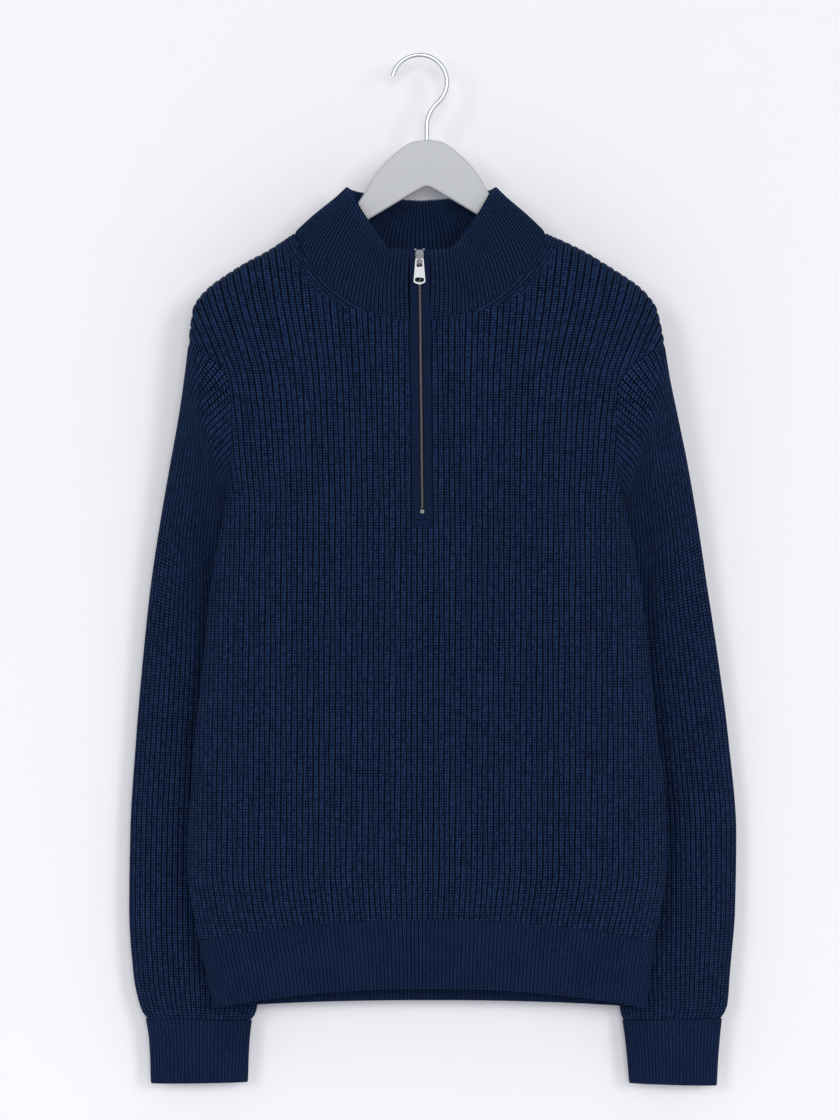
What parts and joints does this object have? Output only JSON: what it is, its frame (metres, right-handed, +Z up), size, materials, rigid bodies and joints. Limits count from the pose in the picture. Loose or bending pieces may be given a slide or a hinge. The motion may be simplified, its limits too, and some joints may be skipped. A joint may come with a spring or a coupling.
{
  "type": "quarter zip sweater on hanger",
  "caption": "Long-sleeved chunky rib-knit pullover with a stand collar and a short front zip, hanging open and hollow on a moulded hanger with a wire hook.",
  "frame": {"origin": "the inside of the hook's top, where a rail bears on it", "axes": "+Z up along the hanging garment; -Y is the garment's front, where the zip is; the wearer's right sleeve is at -X and the left at +X"},
  "size_m": [0.55, 0.0996, 0.9341],
  "materials": {
    "navy_rib_knit": "heathered navy rib knit, matt and slightly fuzzy",
    "navy_zip_tape": "woven zip tape, matt",
    "satin_nickel": "satin nickel-plated zip metal",
    "grey_moulded_plastic": "light grey moulded plastic, matt",
    "zinc_plated_wire": "zinc-plated steel wire"
  },
  "bodies": {
    "garment": {"back_panel": "navy_rib_knit", "collar": "navy_rib_knit", "cuff_left": "navy_rib_knit", "cuff_right": "navy_rib_knit", "front_panel": "navy_rib_knit", "hanger": "grey_moulded_plastic", "hanger_hook": "zinc_plated_wire", "hem_back": "navy_rib_knit", "hem_front": "navy_rib_knit", "sleeve_left": "navy_rib_knit", "sleeve_right": "navy_rib_knit", "zip_band_left": "navy_rib_knit", "zip_band_right": "navy_rib_knit", "zip_chain_left": "satin_nickel", "zip_chain_right": "satin_nickel", "zip_end_box": "navy_rib_knit", "zip_slider": "satin_nickel", "zip_stop_bottom": "satin_nickel", "zip_stop_left": "satin_nickel", "zip_stop_right": "satin_nickel", "zip_tape_left": "navy_zip_tape", "zip_tape_right": "navy_zip_tape"},
    "pull_tab": {"zip_pull": "satin_nickel"}
  },
  "joints": [
    {"name": "pull_swing", "type": "hinge", "parent": "garment", "child": "pull_tab", "pos_m": [0, -0.04128, -0.184], "axis": [-1, 0, 0], "range_deg": [0, 165]}
  ]
}
